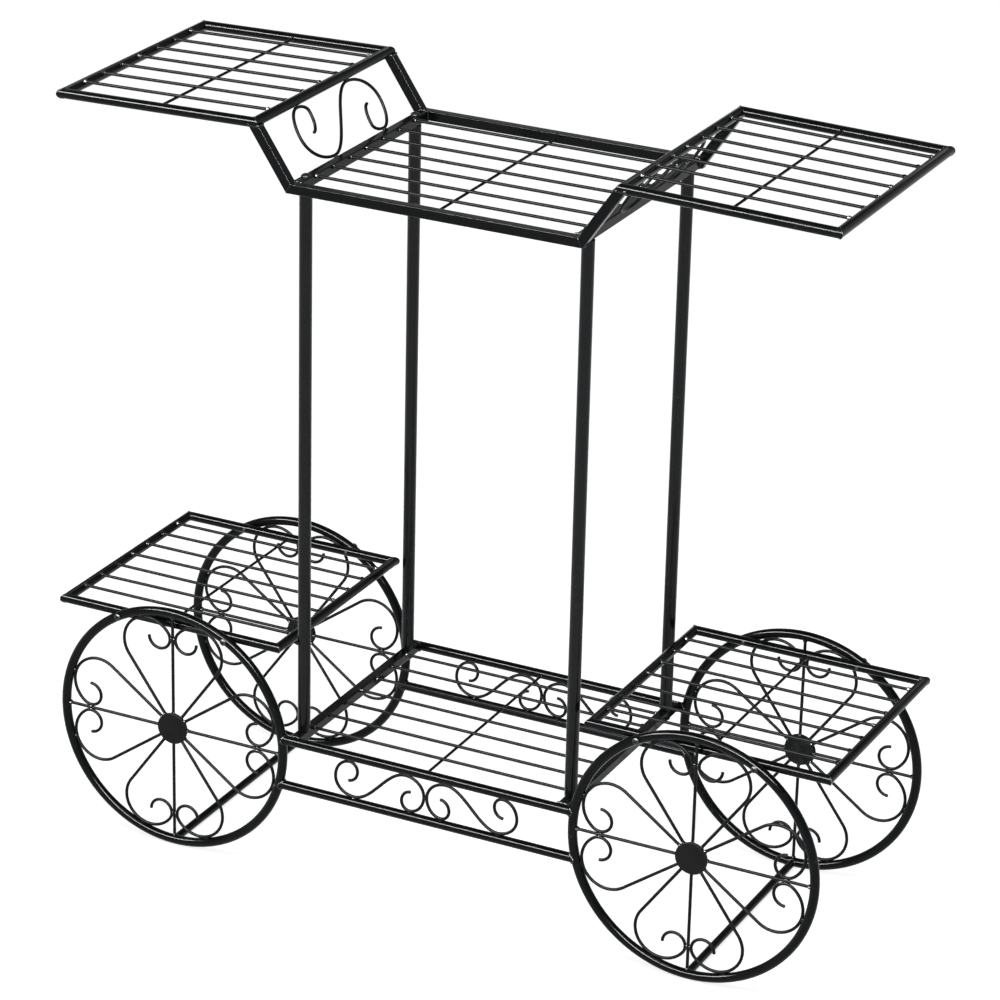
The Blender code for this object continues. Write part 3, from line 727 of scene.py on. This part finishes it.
def panel_scrolls(face):
    """Two S scrolls between the rails, mirror images that are welded where they meet."""
    y = FACES[face] * RAIL_Y
    height = RAIL_Z["upper"] - RAIL_Z["lower"] - RAIL_TUBE - SCROLL_WIRE + SINK
    centre_z = (RAIL_Z["upper"] + RAIL_Z["lower"]) / 2
    flat = s_scroll(PANEL_SCROLL_LENGTH, height, **PANEL_SCROLL)
    reach = (PANEL_SCROLL_LENGTH + SCROLL_WIRE) / 2
    for side, sign in SIDES.items():
        origin = np.array([sign * reach, y, centre_z])
        contacts = scroll_contacts(PANEL_SCROLL_LENGTH, height, PANEL_SCROLL)
        if side == "left":
            contacts.append((reach, 0.0))
        scroll_piece(f"panel_s_{face}_{side}", f"panel_scroll_{face}_{side}", flat, origin, -sign * X, Z,
                     contacts)


# ---- Wheels ----------------------------------------------------------------------------------
def wheel_scroll(start):
    """Wheel scroll beside a spoke, as (out, across) points, in a straight leg and two arcs.

    The big arc is centred halfway between leg and spoke, as far from each as its radius, and
    touches the rim. The small arc inside it touches the spoke and ends pointing outwards.
    """
    farthest = RIM_INSIDE - SCROLL_WIRE / 2 + SINK / 2
    lean = math.sin(WHEEL_SCROLL_LEG_ANGLE / 2)
    reach = farthest / (1 + lean)
    big = reach * lean
    small = WHEEL_SCROLL_HOOK_RADIUS
    leg_end = math.sqrt(reach ** 2 - big ** 2)
    small_v = small + SCROLL_WIRE
    small_u = leg_end + math.sqrt((big - small) ** 2 - (big - small_v) ** 2)
    join = math.atan2(small_v - big, small_u - leg_end)
    leg = line((start, 0), (leg_end, 0), 3)[:, :1] * np.array([math.cos(WHEEL_SCROLL_LEG_ANGLE),
                                                               math.sin(WHEEL_SCROLL_LEG_ANGLE)])
    wide = np.linspace(WHEEL_SCROLL_LEG_ANGLE + TURN / 4, join, 56)[1:]
    tight = np.linspace(join, -0.75 * TURN, 34)[1:]
    path = np.concatenate([leg,
                           np.stack([leg_end + big * np.cos(wide), big + big * np.sin(wide)], axis=1),
                           np.stack([small_u + small * np.cos(tight), small_v + small * np.sin(tight)],
                                    axis=1)])
    half = WHEEL_SCROLL_LEG_ANGLE / 2
    at_rim = (RIM_INSIDE * math.cos(half), RIM_INSIDE * math.sin(half))
    return path, at_rim, (small_u, SCROLL_WIRE / 2)


def wheel(side, face):
    """Rim, hub, four straight spokes and eight scrolls, with welds wherever wires meet.

    The rim's path is a circle about the centre, and a scroll's point (a, b) goes to centre + a * out
    + or - b * across, where out points along a spoke and across is a quarter turn on.
    """
    centre = WHEEL * (SIDES[side], FACES[face], 1)
    tag = f"{side}_{face}"
    angle = np.linspace(0, TURN, RIM_STEPS, endpoint=False)[:, None]
    rim_path = centre + RIM_RADIUS * (np.cos(angle) * X + np.sin(angle) * Z)
    rim = rod(rim_path, -Y, ring(RIM_TUBE), loop=True)
    add_piece(f"rim_{tag}", [rim], TUBE_ENAMEL, f"wheel_rim_{tag}")
    start = HUB_BOSS_DIAMETER / 2 - 2 * SINK
    scroll, at_rim, at_spoke = wheel_scroll(start)
    round_wire = ring(SCROLL_WIRE, WIRE_SIDES)
    wires = []
    spots = []
    for quarter_turn in range(4):
        turn = TURN / 4 * quarter_turn
        out = math.cos(turn) * X + math.sin(turn) * Z
        across = -math.sin(turn) * X + math.cos(turn) * Z
        wires.append(rod(centre + line((start,), (RIM_INSIDE + SINK,)) * out, Y, round_wire))
        spots.append(blob(centre + (RIM_INSIDE - SINK) * out, out, *SPOKE_SPOT, turn))
        spots.append(blob(centre + (start + HUB_SPOT_INSET) * out, out, *HUB_SPOT, turn))
        for hand in (-1, 1):
            path = centre + scroll[:, :1] * out + hand * scroll[:, 1:] * across
            wires.append(rod(path, Y, round_wire))
            for a, b in (at_rim, at_spoke):
                place = centre + a * out + hand * b * across
                run = out if b < SCROLL_WIRE else unit(b * out - hand * a * across)
                spots.append(blob(place, run, *HOOK_SPOT, hand * turn))
            leg = unit(path[1] - path[0])
            spots.append(blob(path[0] + HUB_SPOT_INSET * leg, leg, *HUB_SPOT, 5 * turn + hand))
    boss = extent(f"wheel_spider_{tag}")[1] / 2
    radius = HUB_BOSS_DIAMETER / 2
    rows = [(radius - CUT_EDGE, -boss, 1), (radius, CUT_EDGE - boss, 1), (radius, boss - CUT_EDGE, 1),
            (radius - CUT_EDGE, boss, 1)]
    wires.append(spun(rows, centre, Y, BOSS_SIDES))
    add_piece(f"spokes_{tag}", wires, WIRE_ENAMEL, f"wheel_spider_{tag}")
    add_piece(f"spoke_welds_{tag}", spots, WELD_ENAMEL)
    hub_cover(tag, centre[1])


def hub_cover(tag, wheel_y):
    """Pressed round cover: a middle dished by a hair, a flat shoulder and a quarter-circle edge."""
    node = f"hub_plate_{tag}"
    radius = extent(node)[0] / 2
    place = middle(node)
    way = np.sign(wheel_y)
    thick = abs(place[1]) + extent(node)[1] / 2 - abs(wheel_y)
    seat = thick - extent(node)[1] - 2 * SINK
    turn = np.linspace(0, TURN / 4, 6)
    rows = [(radius - inwards, seat + rise, worn) for inwards, rise, worn in COVER_BACK]
    rows += [(radius - COVER_EDGE * (1 - math.cos(t)), thick - COVER_EDGE * (1 - math.sin(t)), 1)
             for t in turn]
    rows += [(radius - COVER_SHOULDER - step * COVER_SHOULDER_RUN, thick - min(step, 1) * COVER_DISH, 0)
             for step in range(3)]
    centre = np.array([place[0], wheel_y, place[2]])
    add_piece(f"hub_cover_{tag}", [spun(rows, centre, way * Y, COVER_SIDES)], HUB_ENAMEL, node)


# ---- Rails, floor tubes and bottom tray ------------------------------------------------------
def rail(face, level):
    """Round rail from rim to rim, its ends cut to the rims' outside.

    At angle t round the rail, with r its radius, the rim's tube reaches outwards by the root of its
    own radius squared less (r cos t) squared, and the rail ends where that circle is at its height.
    """
    y, z = FACES[face] * RAIL_Y, RAIL_Z[level]
    t = np.linspace(0, TURN, COPE_SIDES, endpoint=False)
    depth = RAIL_TUBE / 2 * np.cos(t)
    height = RAIL_TUBE / 2 * np.sin(t)
    outside = RIM_RADIUS + np.sqrt(np.maximum((RIM_TUBE / 2) ** 2 - depth ** 2, 0)) - SINK
    end_x = WHEEL[0] - np.sqrt(outside ** 2 - (z + height - WHEEL[2]) ** 2)
    grid = np.stack([COPE_ROWS * end_x, y + depth + 0 * COPE_ROWS, z + height + 0 * COPE_ROWS], axis=-1)
    add_piece(f"rail_tube_{face}_{level}", [closed_skin(grid[:, ::-1], False)], TUBE_ENAMEL,
              f"rail_{face}_{level}")
    welds = []
    for sign in SIDES.values():
        seam = np.stack([sign * (end_x - SINK), y + depth, z + height], axis=1)
        welds.append(weld(seam, np.stack([0 * t, depth, height], axis=1), FRAME_BEAD))
    add_piece(f"rail_welds_{face}_{level}", welds, WELD_ENAMEL)


def floor_tube(side):
    """Round tube between the feet of two rims, its ends cut to the rims' inner faces.

    At a height h above its axis it ends where the rim's tube does: short of the rim's middle plane
    by the root of rim tube radius squared less h squared.
    """
    node = f"floor_tube_{side}"
    x, _, z = middle(node)
    tube = extent(node)[2]
    t = np.linspace(0, TURN, COPE_SIDES, endpoint=False)
    run = tube / 2 * np.cos(t)
    height = tube / 2 * np.sin(t)
    end_y = WHEEL[1] - np.sqrt((RIM_TUBE / 2) ** 2 - height ** 2) + SINK
    grid = np.stack([x + run + 0 * COPE_ROWS, COPE_ROWS * end_y, z + height + 0 * COPE_ROWS], axis=-1)
    add_piece(f"foot_tube_{side}", [closed_skin(grid, False)], TUBE_ENAMEL, node)
    welds = []
    for way in FACES.values():
        seam = np.stack([x + run, way * (end_y - SINK), z + height], axis=1)
        welds.append(weld(seam, np.stack([run, 0 * t, height], axis=1), FOOT_BEAD))
    add_piece(f"foot_welds_{side}", welds, WELD_ENAMEL)


def bottom_tray():
    """Rails and panel scrolls, the cross bars under the posts, the floor tubes and the wires."""
    for face in FACES:
        for level in RAIL_Z:
            rail(face, level)
        panel_scrolls(face)
    z = RAIL_Z["upper"]
    for side in SIDES:
        cross_bar(f"bottom_cross_bar_{side}", z, RAIL_Y - JOINT_DEPTH, f"bottom_bar_{side}")
        floor_tube(side)
    meets = (BAR / 2 - SINK, wire_meets(RAIL_TUBE)[1])
    tray_wires("bottom_tray", "bottom_tray_grid", (-POST_X, POST_X), RAIL_Y, meets, lambda x: z)


# ---- Posts and bolts -------------------------------------------------------------------------
def post(side, face):
    """Round post between the two cross bars, its cut ends bevelled and worn a little way in."""
    node = f"post_{side}_{face}"
    x, y, _ = middle(node)
    radius = extent(node)[0] / 2
    low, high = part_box(node)
    foot, head = low[2] - SINK, high[2] + SINK
    fade = 4 * POST_EDGE
    rows = [(radius - POST_EDGE, foot, 1), (radius, foot + POST_EDGE, 1), (radius, foot + fade, 0),
            (radius, (foot + head) / 2, 0), (radius, head - fade, 0), (radius, head - POST_EDGE, 1),
            (radius - POST_EDGE, head, 1)]
    skin = spun(rows, np.array([x, y, 0.0]), Z, POST_SIDES)
    add_piece(f"post_tube_{side}_{face}", [skin], POST_ENAMEL, node)


def cross_recess(reach, half_width, depth):
    """Depth of a cross-shaped recess: full inside either arm, falling away over a short slope.

    An arm's share is (its limit - distance from the middle) / slope, held from 0 to 1, for its
    reach times the same for its half width, and the deeper arm counts.
    """
    def inside(limit, place):
        """Share of the full depth at a place, for one direction of an arm."""
        return np.clip((limit - np.abs(place)) / RECESS_SLOPE, 0, 1)

    def sink(a, b):
        """Depth at (a, b), for the arm along a and the arm along b."""
        first = inside(reach, a) * inside(half_width, b)
        second = inside(reach, b) * inside(half_width, a)
        return depth * np.maximum(first, second)

    return sink


def bolt(node, name, axis, head, head_height):
    """Low domed bolt with a cross recess: its seat, lip and dome, and the shank behind them.

    The dome's height above the lip is (1 - (radius share) squared) to the dome's power, and its
    wear fades from the edge inwards.
    """
    low, high = (np.array(corner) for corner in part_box(node))
    axis = np.asarray(axis, float)
    centre = (low + high) / 2
    half_length = abs((high - low) @ axis) / 2
    seat = centre + axis * (half_length - head_height)
    shank = 2 * half_length - head_height
    radius = head / 2
    shank_radius = radius * SHANK_SHARE
    lip = head_height * LIP_SHARE
    share = np.linspace(0.985, 0.02, 40)
    dome = lip + (head_height - lip) * (1 - share ** 2) ** DOME_POWER
    rows = [(shank_radius - SHANK_BEVEL, -shank, 0), (shank_radius, SHANK_BEVEL - shank, 0),
            (shank_radius, 0.0, 0), (radius * UNDERCUT_SHARE, 0.0, 0), (radius, lip * 0.35, 1),
            (radius, lip * 0.9, 1)]
    rows += list(zip(radius * share, dome, np.clip(1.4 * share - 0.9, 0, 1)))
    sink = cross_recess(radius * RECESS_REACH, radius * RECESS_WIDTH, head_height * RECESS_DEPTH)
    add_piece(name, [spun(rows, seat, axis, BOLT_SIDES, sink)], BOLT_BLACK, node)


def bolts():
    """A bolt over and under every post, and two through every rim into the side tray."""
    for side in SIDES:
        for face, way in FACES.items():
            tag = f"{side}_{face}"
            bolt(f"post_top_bolt_{tag}", f"top_bolt_{tag}", Z, *POST_BOLT)
            bolt(f"post_foot_bolt_{tag}", f"foot_bolt_{tag}", -Z, *POST_BOLT)
            for end in ("inner", "outer"):
                bolt(f"tray_bolt_{tag}_{end}", f"rim_bolt_{tag}_{end}", way * Y, *RIM_BOLT)


# ---- Camera, floor and light -----------------------------------------------------------------
def aimed(azimuth, elevation, roll):
    """Turn of a camera or light that looks at the cart from that side, with its own up tilted."""
    azimuth, elevation, roll = (math.radians(value) for value in (azimuth, elevation, roll))
    back = Vector((math.sin(azimuth) * math.cos(elevation), -math.cos(azimuth) * math.cos(elevation),
                   math.sin(elevation)))
    right = Vector((math.cos(azimuth), math.sin(azimuth), 0))
    up = back.cross(right)
    tilted_right = math.cos(roll) * right + math.sin(roll) * up
    tilted_up = math.cos(roll) * up - math.sin(roll) * right
    turn = Matrix((tilted_right, tilted_up, back)).transposed().to_4x4()
    return turn, back


def place_camera():
    """Camera on the line through its target along its aim, at its distance."""
    turn, back = aimed(**CAMERA_AIM)
    camera = bpy.data.objects.new("camera", bpy.data.cameras.new("camera"))
    camera.data.sensor_width = CAMERA_SENSOR
    camera.data.lens = CAMERA_LENS
    camera.matrix_world = Matrix.Translation(CAMERA_TARGET + back * CAMERA_DISTANCE) @ turn
    bpy.context.scene.collection.objects.link(camera)
    bpy.context.scene.camera = camera


def softbox(name, azimuth, elevation, size, power, lights_floor=False):
    """Rectangular lamp aimed at the middle of the cart, seen in gloss even where it lights no floor."""
    turn, back = aimed(azimuth, elevation, 0)
    lamp = bpy.data.lights.new(name, "AREA")
    lamp.shape = "RECTANGLE"
    lamp.size, lamp.size_y = size
    lamp.energy = power
    holder = bpy.data.objects.new(name, lamp)
    holder.matrix_world = Matrix.Translation(LAMP_TARGET + back * LAMP_DISTANCE) @ turn
    holder.visible_camera = False
    holder.visible_diffuse = lights_floor
    bpy.context.scene.collection.objects.link(holder)


def studio_sky():
    """Pale all round at the horizon, falling to a dim grey overhead."""
    world = bpy.data.worlds.new("studio")
    world.use_nodes = True
    tree = world.node_tree
    place = tree.nodes.new("ShaderNodeTexCoord")
    parts = tree.nodes.new("ShaderNodeSeparateXYZ")
    fall = tree.nodes.new("ShaderNodeMapRange")
    for socket, value in zip(("From Min", "From Max", "To Min", "To Max"), SKY_EDGES + SKY_LEVELS):
        fall.inputs[socket].default_value = value
    tree.links.new(place.outputs["Generated"], parts.inputs[0])
    tree.links.new(parts.outputs["Z"], fall.inputs["Value"])
    tree.links.new(fall.outputs["Result"], tree.nodes["Background"].inputs["Color"])
    bpy.context.scene.world = world


def pale_floor():
    """Flat floor of matt white, lit from within just enough to stay pale under the cart."""
    half = FLOOR_HALF
    mesh = bpy.data.meshes.new("floor")
    mesh.from_pydata([(-half, -half, 0), (half, -half, 0), (half, half, 0), (-half, half, 0)], [],
                     [(0, 1, 2, 3)])
    finish = bpy.data.materials.new("matt_white_floor")
    finish.use_nodes = True
    shader = finish.node_tree.nodes["Principled BSDF"]
    shader.inputs["Base Color"].default_value = (FLOOR_WHITE, FLOOR_WHITE, FLOOR_WHITE, 1)
    shader.inputs["Roughness"].default_value = 0.9
    shader.inputs["Specular IOR Level"].default_value = 0.0
    shader.inputs["Emission Color"].default_value = (1, 1, 1, 1)
    shader.inputs["Emission Strength"].default_value = FLOOR_GLOW
    mesh.materials.append(finish)
    floor = bpy.data.objects.new("floor", mesh)
    bpy.context.scene.collection.objects.link(floor)


# ---- The whole cart --------------------------------------------------------------------------
place_camera()
studio_sky()
pale_floor()
bpy.context.scene.view_settings.view_transform = "Standard"
for lamp_name, settings in LAMPS.items():
    softbox(lamp_name, **settings)
centre_tray()
bottom_tray()
for side_name in SIDES:
    upper_tray(side_name)
    side_tray(side_name)
    slope_scroll(side_name)
    for face_name in FACES:
        wheel(side_name, face_name)
        post(side_name, face_name)
bolts()
